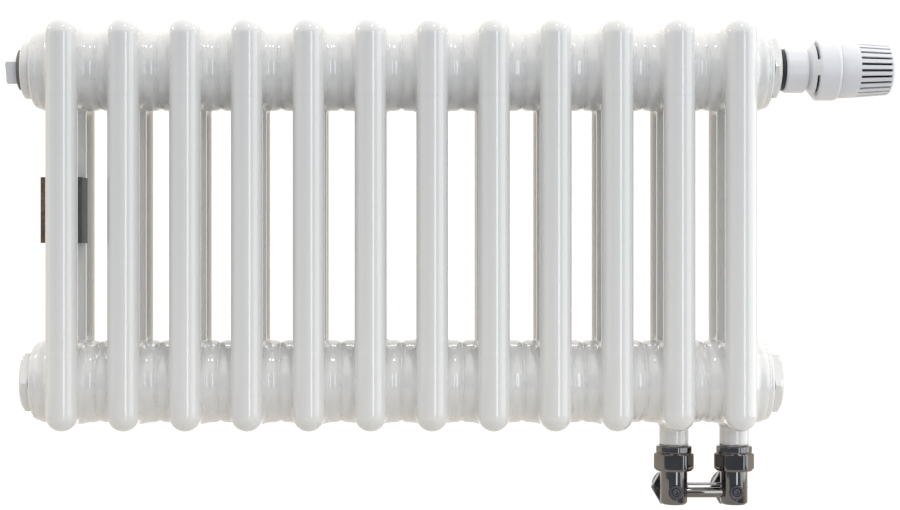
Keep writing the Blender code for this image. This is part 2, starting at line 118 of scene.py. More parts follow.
def area_light(name, azimuth, elevation, distance, size, power, colour=(1, 1, 1)):
    """A rectangle of light that faces the object. Azimuth 0 is in front of it and 90 to the right."""
    a, e = math.radians(azimuth), math.radians(elevation)
    away = Vector((math.sin(a) * math.cos(e), -math.cos(a) * math.cos(e), math.sin(e)))
    data = bpy.data.lights.new(name, "AREA")
    data.shape = "RECTANGLE"
    data.size, data.size_y = size
    data.energy = power
    data.color = colour
    light = bpy.data.objects.new(name, data)
    light.location = LIT_POINT + away * distance
    light.rotation_mode = "QUATERNION"
    light.rotation_quaternion = away.to_track_quat("Z", "Y")
    light.visible_camera = False
    SCENE.collection.objects.link(light)


def make_world():
    """White straight behind the object, bright above, warm at the sides, and cool and dim in front."""
    world = bpy.data.worlds.new("studio")
    world.use_nodes = True
    SCENE.world = world
    nodes, links = world.node_tree.nodes, world.node_tree.links
    background = nodes["Background"]
    place = nodes.new("ShaderNodeTexCoord")
    parts = nodes.new("ShaderNodeSeparateXYZ")
    links.new(place.outputs["Generated"], parts.inputs[0])

    def band(axis, low, high):
        """0 to 1 as one coordinate of the direction goes from low to high."""
        change = nodes.new("ShaderNodeMapRange")
        change.interpolation_type = "SMOOTHSTEP"
        change.inputs["From Min"].default_value = low
        change.inputs["From Max"].default_value = high
        links.new(parts.outputs[axis], change.inputs["Value"])
        return change.outputs[0]

    def layer(under, colour, mask):
        mix = nodes.new("ShaderNodeMix")
        mix.data_type = "RGBA"
        mix.inputs["B"].default_value = (*colour, 1)
        if under is None:
            mix.inputs["A"].default_value = (*WORLD_FRONT, 1)
        else:
            links.new(under, mix.inputs["A"])
        links.new(mask, mix.inputs["Factor"])
        return mix.outputs["Result"]

    glow = layer(None, WORLD_SIDE, band("Y", -0.45, 0.1))
    glow = layer(glow, WORLD_ABOVE, band("Z", 0.2, 0.6))
    glow = layer(glow, WORLD_BEHIND, band("Y", 0.915, 0.945))
    links.new(glow, background.inputs["Color"])


def make_floor():
    mesh = bpy.data.meshes.new("floor")
    shape = bmesh.new()
    bmesh.ops.create_circle(shape, cap_ends=True, segments=128, radius=FLOOR_RADIUS)
    shape.to_mesh(mesh)
    shape.free()
    floor = bpy.data.objects.new("floor", mesh)
    floor.location.z = FLOOR_LEVEL
    mesh.materials.append(LOOKS["floor"])
    SCENE.collection.objects.link(floor)


# Materials

WEAR_SCALE = 7
COAT_ROUGHNESS = 0.03


def link_noise(tree, place, scale, detail):
    """Noise in the piece's own space, moved on by a number that differs from piece to piece."""
    own = tree.nodes.new("ShaderNodeObjectInfo")
    noise = tree.nodes.new("ShaderNodeTexNoise")
    noise.noise_dimensions = "4D"
    noise.inputs["Scale"].default_value = scale
    noise.inputs["Detail"].default_value = detail
    tree.links.new(place.outputs["Object"], noise.inputs["Vector"])
    tree.links.new(own.outputs["Random"], noise.inputs["W"])
    return noise.outputs["Fac"]


def ramp(tree, value, low, high, first, last):
    """Maps part of a noise's range to numbers."""
    change = tree.nodes.new("ShaderNodeMapRange")
    for name, number in (("From Min", low), ("From Max", high), ("To Min", first), ("To Max", last)):
        change.inputs[name].default_value = number
    tree.links.new(value, change.inputs["Value"])
    return change.outputs[0]


def blend_colours(tree, factor, first, last):
    mix = tree.nodes.new("ShaderNodeMix")
    mix.data_type = "RGBA"
    mix.inputs["A"].default_value = (*first, 1)
    mix.inputs["B"].default_value = (*last, 1)
    tree.links.new(factor, mix.inputs["Factor"])
    return mix.outputs["Result"]


def surface(
    name,
    colours,
    roughness,
    metallic=0.0,
    blotch=6.0,
    grain=900.0,
    grain_depth=0.00002,
    wave=0.0,
    wave_depth=0.0,
    coat=0.0,
):
    """A Principled material with blotches of two colours and two roughnesses, fine grain and slow waves."""
    made = bpy.data.materials.new(name)
    made.use_nodes = True
    tree = made.node_tree
    shader = tree.nodes["Principled BSDF"]
    place = tree.nodes.new("ShaderNodeTexCoord")
    patches = link_noise(tree, place, blotch, 4)
    tone = ramp(tree, patches, 0.35, 0.65, 0, 1)
    tree.links.new(blend_colours(tree, tone, *colours), shader.inputs["Base Color"])
    fine = link_noise(tree, place, grain, 2)
    wear = link_noise(tree, place, blotch * WEAR_SCALE, 5)
    tree.links.new(ramp(tree, wear, 0.3, 0.7, *roughness), shader.inputs["Roughness"])
    bump = tree.nodes.new("ShaderNodeBump")
    bump.inputs["Distance"].default_value = grain_depth
    tree.links.new(fine, bump.inputs["Height"])
    if wave:
        slow = tree.nodes.new("ShaderNodeBump")
        slow.inputs["Distance"].default_value = wave_depth
        tree.links.new(link_noise(tree, place, wave, 1), slow.inputs["Height"])
        tree.links.new(slow.outputs[0], bump.inputs["Normal"])
    tree.links.new(bump.outputs[0], shader.inputs["Normal"])
    shader.inputs["Metallic"].default_value = metallic
    shader.inputs["Coat Weight"].default_value = coat
    shader.inputs["Coat Roughness"].default_value = COAT_ROUGHNESS
    return made


LOOKS = {
    "enamel": surface(
        "enamel", ((0.795, 0.79, 0.78), (0.81, 0.805, 0.795)), (0.04, 0.08),
        blotch=9, grain=420, grain_depth=0.0000008, wave=30, wave_depth=0.000008, coat=1.0,
    ),
    "white_plastic": surface(
        "white_plastic", ((0.80, 0.80, 0.83), (0.82, 0.82, 0.845)), (0.28, 0.40),
        grain=2600, grain_depth=0.00003,
    ),
    "dark_plastic": surface(
        "dark_plastic", ((0.012, 0.013, 0.02), (0.02, 0.021, 0.03)), (0.35, 0.55), grain=2200,
    ),
    "dark_chrome": surface(
        "dark_chrome", ((0.165, 0.158, 0.157), (0.21, 0.20, 0.19)), (0.03, 0.08), metallic=1,
        blotch=40, grain=1500, grain_depth=0.000003, wave=60, wave_depth=0.00001, coat=0.2,
    ),
    "cap_chrome": surface(
        "cap_chrome", ((0.07, 0.07, 0.08), (0.11, 0.105, 0.115)), (0.3, 0.42), metallic=1,
        blotch=90, grain=1800, grain_depth=0.00001,
    ),
    "brass": surface(
        "brass", ((0.56, 0.39, 0.17), (0.66, 0.49, 0.24)), (0.22, 0.4), metallic=1, blotch=60,
    ),
    "steel": surface(
        "steel", ((0.40, 0.40, 0.41), (0.52, 0.52, 0.53)), (0.2, 0.38), metallic=1, blotch=50,
    ),
    "rubber": surface(
        "rubber", ((0.17, 0.155, 0.14), (0.24, 0.22, 0.20)), (0.5, 0.7), blotch=120,
    ),
    "vent_grey": surface(
        "vent_grey", ((0.82, 0.83, 0.86), (0.85, 0.86, 0.89)), (0.16, 0.26), blotch=60, coat=0.3,
    ),
    "seal_grey": surface(
        "seal_grey", ((0.42, 0.41, 0.40), (0.50, 0.49, 0.47)), (0.5, 0.7), blotch=60,
    ),
    "label_front": surface(
        "label_front", ((0.075, 0.075, 0.08), (0.10, 0.10, 0.105)), (0.4, 0.6), blotch=80,
    ),
    "label_wing": surface(
        "label_wing", ((0.10, 0.072, 0.045), (0.20, 0.15, 0.10)), (0.4, 0.6), blotch=300,
    ),
    "floor": surface("floor", ((0.60, 0.575, 0.54), (0.61, 0.585, 0.55)), (0.5, 0.6), blotch=2),
}


# Pieces

SHARP_ANGLE = 32


def keep(name, mesh, look, body, replaced, at=(0, 0, 0)):
    """A finished piece in its place: its material, the body that it rides on, and what it stands for."""
    piece = bpy.data.objects.new(name, mesh)
    SCENE.collection.objects.link(piece)
    if not mesh.materials:
        mesh.materials.append(LOOKS[look])
    piece.location = at
    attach(piece, body)
    if replaced:
        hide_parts(*replaced)
    return piece


def soften(outline, steps=4):
    """Rounds an outline's corners. A corner is (radius, along) or (radius, along, rounding), in mm."""
    corners = [(*point[:2], point[2] if len(point) > 2 else 0.4) for point in outline]
    points = []
    for i, (r, a, rounding) in enumerate(corners):
        here = Vector((r, a))
        before = Vector(corners[i - 1][:2]) - here
        after = Vector(corners[(i + 1) % len(corners)][:2]) - here
        if r < 0.001 or rounding <= 0 or before.length < 0.001 or after.length < 0.001:
            points.append((r, a))
            continue
        angle = before.angle(after)
        if angle > math.radians(176):
            points.append((r, a))
            continue
        reach = min(rounding / math.tan(angle / 2), before.length * 0.45, after.length * 0.45)
        start, end = here + before.normalized() * reach, here + after.normalized() * reach
        for step in range(steps + 1):
            t = step / steps
            point = start * (1 - t) ** 2 + here * 2 * t * (1 - t) + end * t**2
            points.append(tuple(point))
    return points


def flat_reach(angle, flats):
    """How far a regular prism's side is from its axis at this angle, in mm."""
    across, count, turn = flats
    wedge = 2 * math.pi / count
    offset = (angle - turn) % wedge - wedge / 2
    return across / 2 / math.cos(offset)


def aimed(at, towards):
    """The matrix that takes a turned shape's own +Z to a direction, in metres."""
    turn = Z_UP.rotation_difference(towards).to_matrix().to_4x4()
    return Matrix.Translation(at) @ turn


def turned_mesh(shape, outline, at, towards, sides=72, flats=None, steps=4):
    """Adds a turned solid to a bmesh. Points beyond a prism's sides are drawn in onto them."""
    points = soften(outline, steps)
    matrix = aimed(at, towards)
    rings = []
    for r, a in points:
        if r < 0.001:
            rings.append([shape.verts.new(matrix @ Vector((0, 0, a * MM)))])
            continue
        ring = []
        for k in range(sides):
            angle = 2 * math.pi * k / sides
            reach = min(r, flat_reach(angle, flats)) if flats else r
            spot = Vector((reach * math.cos(angle), reach * math.sin(angle), a)) * MM
            ring.append(shape.verts.new(matrix @ spot))
        rings.append(ring)
    made = []
    for first, second in zip(rings, rings[1:] + rings[:1]):
        if len(first) == len(second) == 1:
            continue
        for k in range(sides):
            n = (k + 1) % sides
            if len(first) == 1:
                corners = (first[0], second[n], second[k])
            elif len(second) == 1:
                corners = (first[k], first[n], second[0])
            else:
                corners = (first[k], first[n], second[n], second[k])
            made.append(shape.faces.new(corners))
    bmesh.ops.recalc_face_normals(shape, faces=made)


def mesh_of(name, shape, angle=SHARP_ANGLE):
    """The bmesh as a smooth mesh whose edges stay sharp beyond an angle."""
    mesh = bpy.data.meshes.new(name)
    shape.to_mesh(mesh)
    shape.free()
    mesh.shade_smooth()
    mesh.set_sharp_from_angle(angle=math.radians(angle))
    return mesh


def lathed(name, outline, at, towards, **shape_of):
    """A turned solid as a mesh of its own."""
    shape = bmesh.new()
    turned_mesh(shape, outline, at, towards, **shape_of)
    return mesh_of(name, shape)


def turned(name, outline, at, towards, look, body, slot, replaced, **shape_of):
    """A turned solid as a finished piece."""
    mesh = lathed(name, outline, at, towards, **shape_of)
    return keep(name, mesh, look, body, replaced)


def box_mesh(name, size, middle, turn=0.0):
    """A box of a size in mm, turned about X."""
    shape = bmesh.new()
    bmesh.ops.create_cube(shape, size=1)
    bmesh.ops.scale(shape, vec=Vector(size) * MM, verts=shape.verts)
    bmesh.ops.rotate(shape, verts=shape.verts, matrix=Matrix.Rotation(turn, 3, "X"))
    bmesh.ops.translate(shape, vec=middle, verts=shape.verts)
    return mesh_of(name, shape)


def add_wall(piece, thickness, offset):
    """Gives a sheet its thickness, in mm."""
    wall = piece.modifiers.new("wall", "SOLIDIFY")
    wall.thickness = thickness * MM
    wall.offset = offset
    return wall


def round_edges(piece, width):
    """Rounds the sharp edges by a width in mm."""
    edge = piece.modifiers.new("edges", "BEVEL")
    edge.width = width * MM
    edge.segments = 2
    edge.limit_method = "ANGLE"
    return edge


def carved(mesh, cutters, operation="DIFFERENCE"):
    """A mesh after Booleans with others, as a new mesh."""
    base = bpy.data.objects.new("base", mesh)
    SCENE.collection.objects.link(base)
    helpers = [base]
    for cutter in cutters:
        other = bpy.data.objects.new("cutter", cutter)
        SCENE.collection.objects.link(other)
        helpers.append(other)
        change = base.modifiers.new("cut", "BOOLEAN")
        change.operation = operation
        change.object = other
        change.solver = "EXACT"
    bpy.context.view_layer.update()
    graph = bpy.context.evaluated_depsgraph_get()
    made = bpy.data.meshes.new_from_object(base.evaluated_get(graph))
    for helper in helpers:
        bpy.data.objects.remove(helper)
    made.materials.clear()
    made.shade_smooth()
    made.set_sharp_from_angle(angle=math.radians(SHARP_ANGLE))
    return made


def ring_outline(inner, outer, start, end, rounding=0.3):
    return [
        (inner, start, rounding),
        (outer, start, rounding),
        (outer, end, rounding),
        (inner, end, rounding),
    ]


# Columns, as the surface where a field is zero

HUB_STRAIGHT = 19
HUB_DROP = 1.95
FIELD_STEP = 0.02
CELL = 1.9
PASSES = 12


def smooth_min(a, b, reach):
    """The lesser of two distances, with a fillet where they are near each other."""
    near = np.clip(1 - np.abs(a - b) / np.maximum(reach, 1e-6), 0, 1)
    return np.minimum(a, b) - near**2 * reach / 4


def smooth_step(value, low, high):
    t = np.clip((value - low) / (high - low), 0, 1)
    return t * t * (3 - 2 * t)


def hub_radius(x):
    """The hub is straight as far as its ends, where it rounds in to the weld."""
    t = np.clip((np.abs(x) - HUB_STRAIGHT) / (PITCH / 2 - HUB_STRAIGHT), 0, 1)
    return HUB_RADIUS - HUB_DROP * t**2.2


def column_field(x, y, z, ported):
    """Distance in mm from a column's surface, from its centre: three tubes, two heads and their hubs."""
    half = INTERAXIS / 2
    level = np.abs(z)
    up = level - half
    row = np.abs(y)
    row = np.hypot(np.minimum(row, np.abs(row - ROW_SPACING)), np.maximum(up, 0))
    corner = HEAD_CORNER - TUBE_RADIUS
    side = np.abs(y) - (HEAD_DEPTH / 2 - TUBE_RADIUS - corner)
    rise = np.abs(up) - (HEAD_HEIGHT / 2 - TUBE_RADIUS - corner)
    past = np.hypot(np.maximum(side, 0), np.maximum(rise, 0))
    sheet = past + np.minimum(np.maximum(side, rise), 0) - corner
    outline = smooth_min(row, sheet, 4.5 * (1 - smooth_step(np.abs(y), 35, 38)))
    body = np.hypot(x, np.maximum(outline, 0)) - TUBE_RADIUS
    radius = hub_radius(x)
    hub = np.maximum(np.hypot(y, up) - radius, np.abs(x) - HUB_END)
    reach = 1.5 + 5.5 * smooth_step(up, -33, -20)
    body = smooth_min(body, hub, reach * smooth_step(np.abs(x), 5, 12))
    if ported:
        pipe = np.hypot(x - STUB_OFFSET, y) - STUB_RADIUS
        pipe = np.maximum(pipe, -(z + half) - STUB_END)
        pipe = np.maximum(pipe, z + half)
        body = smooth_min(body, pipe, 3.0)
    return body


def slope(x, y, z, ported):
    """The field's gradient, by small steps."""
    e = FIELD_STEP
    dx = column_field(x + e, y, z, ported) - column_field(x - e, y, z, ported)
    dy = column_field(x, y + e, z, ported) - column_field(x, y - e, z, ported)
    dz = column_field(x, y, z + e, ported) - column_field(x, y, z - e, ported)
    return np.stack((dx, dy, dz), axis=1) / (2 * e)


def grid_lines(ported):
    """Where the field is sampled: closely round the heads and thinly along the plain tubes."""
    across = np.arange(-14.5, 15) * CELL
    deep = np.arange(-28.5, 29) * CELL
    fine = np.arange(80, 172, CELL)
    bare = np.linspace(-80, 80, 12)[1:-1]
    low = np.arange(172, 188, CELL) if ported else []
    return across, deep, np.concatenate((-np.flip(low), -fine[::-1], bare, fine))


def column_mesh(name, ported):
    """Surface nets: one point in each cell that the surface crosses, then drawn onto the surface."""
    lines = grid_lines(ported)
    grid = np.meshgrid(*lines, indexing="ij")
    inside = column_field(*grid, ported) < 0
    corners = [
        inside[i : i + inside.shape[0] - 1, j : j + inside.shape[1] - 1, k : k + inside.shape[2] - 1]
        for i in (0, 1)
        for j in (0, 1)
        for k in (0, 1)
    ]
    count = sum(c.astype(int) for c in corners)
    cells = np.argwhere((count > 0) & (count < 8))
    number = -np.ones(count.shape, int)
    number[tuple(cells.T)] = np.arange(len(cells))
    middles = [(line[1:] + line[:-1]) / 2 for line in lines]
    points = np.stack([middles[axis][cells[:, axis]] for axis in range(3)], axis=1)
    for _ in range(PASSES):
        value = column_field(*points.T, ported)
        lean = slope(*points.T, ported)
        size = np.maximum((lean**2).sum(axis=1), 0.2)
        points -= (value / size)[:, None] * lean * 0.9
    faces = []
    for axis in range(3):
        b, c = (axis + 1) % 3, (axis + 2) % 3
        first = np.moveaxis(inside, (axis, b, c), (0, 1, 2))
        index = np.moveaxis(number, (axis, b, c), (0, 1, 2))
        ahead, behind = first[1:, 1:-1, 1:-1], first[:-1, 1:-1, 1:-1]
        i, j, k = np.nonzero(ahead != behind)
        leaving = behind[i, j, k]
        quad = np.stack(
            (index[i, j, k], index[i, j + 1, k], index[i, j + 1, k + 1], index[i, j, k + 1]), axis=1
        )
        quad[~leaving] = quad[~leaving][:, ::-1]
        faces.append(quad)
    faces = np.concatenate(faces)
    mesh = bpy.data.meshes.new(name)
    mesh.from_pydata((points * MM).tolist(), [], faces.tolist())
    mesh.shade_smooth()
    lean = slope(*points.T, ported)
    lean /= np.linalg.norm(lean, axis=1)[:, None]
    mesh.normals_split_custom_set_from_vertices(lean.tolist())
    return mesh


def columns():
    """Twelve columns from two meshes. The last two have a stub at the bottom."""
    plain = column_mesh("plain_column", False)
    ported = column_mesh("ported_column", True)
    stubs = {COLUMNS - 1: "return_stub", COLUMNS: "supply_stub"}
    for number in range(1, COLUMNS + 1):
        x = FIRST_COLUMN + (number - 1) * PITCH
        replaced = [f"column_{number:02d}"]
        if number in stubs:
            replaced.append(stubs[number])
        mesh = ported if number in stubs else plain
        at = Vector((x, 0, MIDDLE)) * MM
        keep(f"enamelled_column_{number:02d}", mesh, "enamel", "radiator", replaced, at)


def weld_beads():
    """A low bead round each joint between two hubs, and a wider one at the end rings."""
    shape = bmesh.new()
    for number in range(COLUMNS + 1):
        x = -BLOCK_END + number * PITCH
        outline = ring_outline(31.0, 32.9, -0.8, 0.8, 0.7)
        if number in (0, COLUMNS):
            outline = ring_outline(30.0, 32.6, -1.2, 1.2, 1.0)
        for level in (TOP_AXIS, BOTTOM_AXIS):
            turned_mesh(shape, outline, Vector((x, 0, level)) * MM, X_OUT, sides=96)
    keep("weld_beads", mesh_of("weld_beads", shape, 60), "enamel", "radiator", [])


# End fittings


def end_point(side, level):
    """A header's axis at the block's left (-1) or right (1) end, in metres."""
    return Vector((side * BLOCK_END, 0, level)) * MM


def bosses():
    """The end rings at the block's four corners, each with its flat seal."""
    outline = [
        (21.3, -0.1),
        (31.2, -0.1, 0.1),
        (31.8, 0.3, 0.3),
        (31.6, 3.0, 1.6),
        (29.6, 4.4, 1.2),
        (25.2, 4.8, 0.4),
        (21.3, 4.8),
    ]
    seal = ring_outline(21.0, 23.6, 4.7, 5.45, 0.2)
    for corner in ("top_left", "bottom_left", "top_right", "bottom_right"):
        side = -1 if "left" in corner else 1
        at = end_point(side, TOP_AXIS if "top" in corner else BOTTOM_AXIS)
        turned(
            f"end_ring_{corner}", outline, at, side * X_OUT, "enamel", "radiator", "enamel",
            [f"boss_{corner}"], sides=96,
        )
        turned(
            f"end_seal_{corner}", seal, at, side * X_OUT, "seal_grey", "radiator", "rubber",
            [f"seal_{corner}"],
        )


def hexagon_head(name, at, towards, across, turn, bore, replaced, end=HEAD_END):
    """A plug's or bush's hexagon head, with a turned chamfer at its outer corners."""
    corner = across / 2 / math.cos(math.pi / 6)
    outline = [
        (bore, -6, 0),
        (20.7, -6, 0.4),
        (20.7, HEAD_START + 0.4, 0.1),
        (corner - 0.6, HEAD_START, 0.7),
        (corner + 0.3, HEAD_START + 1.0, 0.5),
        (corner + 0.3, end - 3.8, 1.6),
        (24.6, end - 1.6, 1.4),
        (22.0, end, 1.2),
        (bore, end, 0.5 if bore else 0),
    ]
    return turned(
        name, outline, at, towards, "enamel", "radiator", "enamel", replaced,
        sides=96, steps=6, flats=(across, 6, turn),
    )


def end_fittings():
    """End rings, two blind plugs, the valve's bush, and the air vent in its own bush."""
    bosses()
    quarter = math.pi / 2
    hexagon_head(
        "blind_plug_bottom_left", end_point(-1, BOTTOM_AXIS), -X_OUT, 47.6, quarter, 0,
        ["plug_bottom_left"],
    )
    hexagon_head(
        "blind_plug_bottom_right", end_point(1, BOTTOM_AXIS), X_OUT, 47.6,
        quarter + math.radians(3.5), 0, ["plug_bottom_right"],
    )
    hexagon_head(
        "valve_bush", end_point(1, TOP_AXIS), X_OUT, 49.0, quarter, 10.7, ["bush_top_right"],
        end=12.2,
    )
    at = end_point(-1, TOP_AXIS)
    outline = [
        (10.7, -6),
        (20.7, -6, 0.4),
        (20.7, HEAD_START, 0.1),
        (24.4, HEAD_START, 0.5),
        (24.5, 12.9, 2.4),
        (18.4, 13.2, 0.5),
        (10.7, 13.2, 0.2),
    ]
    turned(
        "vent_bush", outline, at, -X_OUT, "enamel", "radiator", "enamel", ["bush_top_left"], sides=96
    )
    outline = [
        (10.7, 13.3),
        (16.7, 13.3, 0.1),
        (16.7, 17.2, 0.5),
        (10.7, 17.2, 0.2),
    ]
    turned("vent_washer", outline, at, -X_OUT, "rubber", "radiator", "rubber", ["vent_gasket"])
    outline = [
        (2.9, 2),
        (10.3, 2),
        (10.3, 17.5, 0.1),
        (13.6, 17.5, 0.3),
        (13.6, VENT_END - 1.4, 1.4),
        (12.2, VENT_END, 0.8),
        (4.1, VENT_END, 0.4),
        (3.6, VENT_END - 0.8, 0.2),
        (2.9, VENT_END - 0.8),
    ]
    turned(
        "vent_body", outline, at, -X_OUT, "vent_grey", "radiator", "enamel", ["vent_plug"],
        sides=144, steps=6, flats=(19.0, 4, math.pi / 2 + math.radians(24.5)),
    )
    bleed_screw(at)


def bleed_screw(at):
    """A brass screw with a driver slot across its head."""
    outline = [(0, 2), (1.4, 2), (2.6, 4), (2.6, VENT_END - 0.5, 0.4), (0, VENT_END - 0.5)]
    screw = lathed("bleed_screw_head", outline, at, -X_OUT, sides=48)
    slot = box_mesh("slot", (2.4, 8, 0.9), at - X_OUT * VENT_END * MM)
    mesh = carved(screw, [slot])
    keep("bleed_screw_head", mesh, "brass", "bleed_screw", ["bleed_screw"])


# Valve and thermostatic head


def valve_connection(at):
    """What shows between the bush and the head: the valve's thread, a dark ring and the nut."""
    outline = [
        (5.7, -9),
        (10.3, -9),
        (10.3, 13.6, 0.1),
        (14.9, 13.8, 0.2),
        (14.9, 29.6),
        (5.7, 29.6),
    ]
    turned("valve_neck", outline, at, X_OUT, "brass", "radiator", "brass", ["insert_body"])
    turned(
        "valve_ring", ring_outline(15.0, 17.1, 13.9, 16.8, 0.5), at, X_OUT, "dark_plastic",
        "radiator", "dark_plastic", ["lock_ring"], sides=96,
    )
    outline = [
        (15.2, 17.1),
        (17.6, 17.1, 0.6),
        (18.9, 18.6, 0.8),
        (18.9, 33.3, 0.9),
        (17.2, 35.2, 0.5),
        (13.4, 35.4, 0.3),
        (13.4, 31.8),
        (15.2, 31.8),
    ]
    turned(
        "connecting_nut", outline, at, X_OUT, "white_plastic", "radiator", "white_plastic",
        ["head_union_nut"], sides=120, flats=(37.2, 10, math.radians(6)),
    )


def head_shell(at):
    """The fixed part of the head: a cone and a band, with four slits at the cone's rim, and a dark liner
    under the slits as painted shade.
    """
    outline = [
        (12.2, 31.5),
        (13.7, 31.5, 0.2),
        (13.9, 36.0, 1.2),
        (18.8, 38.6, 2.5),
        (25.0, 43.9, 0.5),
        (25.35, 44.9, 0.4),
        (25.35, 59.2, 1.6),
        (23.9, 61.4, 0.5),
        (21.6, 61.4, 0.3),
        (21.6, 47.0, 0.3),
        (12.2, 38.6, 0.3),
    ]
    shell = lathed("head_shell", outline, at, X_OUT, sides=120)
    slits = lathed("slits", ring_outline(17.6, 27.0, 41.3, 43.3, 0), at, X_OUT, sides=120)
    middle = at + X_OUT * 42.3 * MM
    bridges = [box_mesh("bridge", (10, 60, 12.9), middle, turn) for turn in (0, math.pi / 2)]
    mesh = carved(shell, [carved(slits, bridges)])
    keep("head_shell", mesh, "white_plastic", "radiator", ["head_base"])
    # A dark plastic liner inside the shell under the slits: painted shade that makes the slits read dark
    turned(
        "head_core", [(0, 36), (12.0, 36), (20.6, 44.0), (20.6, 60.8), (0, 60.8)], at, X_OUT,
        "dark_plastic", "radiator", "dark_plastic", [],
    )


SLOTS = 26
SLOT_WIDTH = 2.1
SLOT_RADIUS = 22.0
RIB_PARTS = 4


def slotted_cap(at):
    """The turning cap: a thin tapered wall with a ring of long slots, closed at its end."""
    stations = [
        (61.6, 22.9),
        (61.7, 23.4),
        (62.1, 23.6),
        (70.0, 23.25),
        (77.1, 22.85),
        (90.0, 21.85),
        (103.0, 20.9),
        (103.9, 20.5),
        (104.9, 19.6),
        (105.4, 18.4),
        (105.5, 16.5),
    ]
    open_from, open_to = 4, 6
    slot_half = math.asin(SLOT_WIDTH / 2 / SLOT_RADIUS)
    pitch = 2 * math.pi / SLOTS
    angles = []
    for number in range(SLOTS):
        middle = number * pitch
        angles += [middle - slot_half, middle, middle + slot_half]
        rib = pitch - 2 * slot_half
        angles += [middle + slot_half + rib * part / RIB_PARTS for part in range(1, RIB_PARTS)]
    count = len(angles)
    per_slot = count // SLOTS
    shape = bmesh.new()
    rings = []
    for along, radius in stations:
        spots = [Vector((along, -radius * math.sin(t), radius * math.cos(t))) for t in angles]
        rings.append([shape.verts.new(at + spot * MM) for spot in spots])
    tip = shape.verts.new(at + X_OUT * stations[-1][0] * MM)
    for ring, (first, second) in enumerate(zip(rings, rings[1:])):
        for k in range(count):
            in_slot = k % per_slot in (0, 1) and open_from <= ring < open_to
            if not in_slot:
                n = (k + 1) % count
                shape.faces.new((first[k], first[n], second[n], second[k]))
    for k in range(count):
        shape.faces.new((rings[-1][k], rings[-1][(k + 1) % count], tip))
    bmesh.ops.recalc_face_normals(shape, faces=shape.faces)
    mesh = mesh_of("slotted_cap", shape, 40)
    cap = keep("slotted_cap", mesh, "white_plastic", "handwheel", ["handwheel"])
    add_wall(cap, 1.8, -1).use_even_offset = True
    round_edges(cap, 0.2).angle_limit = math.radians(50)
    turned(
        "sensor_body", [(0, 66), (12, 66), (18.2, 70, 1), (18.2, 101.0, 1), (0, 101.0)], at, X_OUT,
        "dark_plastic", "sensor", "dark_plastic", ["sensor_cartridge"],
    )


# Isolating valve block

THREAD_RIDGES = 6
THREAD_PITCH = 1.8


def below(x, height=0.0):
    """A point at a height above the bottom header's axis, in metres."""
    return Vector((x, 0, BOTTOM_AXIS + height)) * MM


def isolating_valve(name, x):
    """One valve under its stub: collar, union nut, housing, cap, and the key in the cap."""
    collar_top, nut_top, nut_end, body_end = -53.4, -59.3, -74.1, -102.0
    at = below(x)
    outline = [
        (9.0, nut_top - 2),
        (12.9, nut_top - 2),
        (12.9, nut_top - 0.2, 0.1),
        (14.2, nut_top + 0.1, 0.3),
        (15.0, nut_top + 1.2, 0.4),
        (15.0, collar_top - 1.0, 0.5),
        (14.0, collar_top, 0.3),
        (9.0, collar_top, 0.2),
    ]
    turned(
        f"{name}_collar", outline, at, Z_UP, "dark_chrome", "radiator", "dark_chrome",
        [f"{name}_nipple"], sides=96, flats=(29.2, 12, math.radians(7)),
    )
    outline = [
        (12.6, nut_top + 0.4, 0.2),
        (14.6, nut_top + 0.2, 0.3),
        (16.5, nut_top - 1.3, 0.4),
        (16.5, nut_end + 2.0, 0.7),
        (14.6, nut_end, 0.4),
        (11.5, nut_end, 0.3),
        (11.5, nut_end + 3),
        (12.6, nut_end + 3),
    ]
    turned(
        f"{name}_nut", outline, at, Z_UP, "dark_chrome", "radiator", "dark_chrome",
        [f"{name}_union_nut"], sides=96, steps=6, flats=(29.8, 6, math.radians(-4)),
    )
    valve_housing(name, x, nut_end, body_end)
    axis = below(x, FLOW_AXIS)
    key = lathed("key", [(0, 7.0), (3.1, 7.0), (3.1, 12.3, 0.3), (0, 12.3)], axis, -Y_BACK)
    outline = [(0, 10.6), (1.75, 10.6), (1.75, 14), (0, 14)]
    socket = lathed("socket", outline, axis, -Y_BACK, sides=6)
    mesh = carved(key, [socket])
    keep(f"{name}_key", mesh, "cap_chrome", f"{name}_isolator", [f"{name}_spindle"])
    outline = [
        (3.3, 8.4),
        (4.9, 8.4, 0.2),
        (6.2, 11.2, 0.3),
        (6.2, 12.2, 0.4),
        (5.5, 12.9, 0.4),
        (4.2, 12.9, 0.3),
        (3.3, 12.2, 0.2),
    ]
    turned(
        f"{name}_cap", outline, axis, -Y_BACK, "cap_chrome", "radiator", "dark_chrome",
        [f"{name}_gland"],
    )


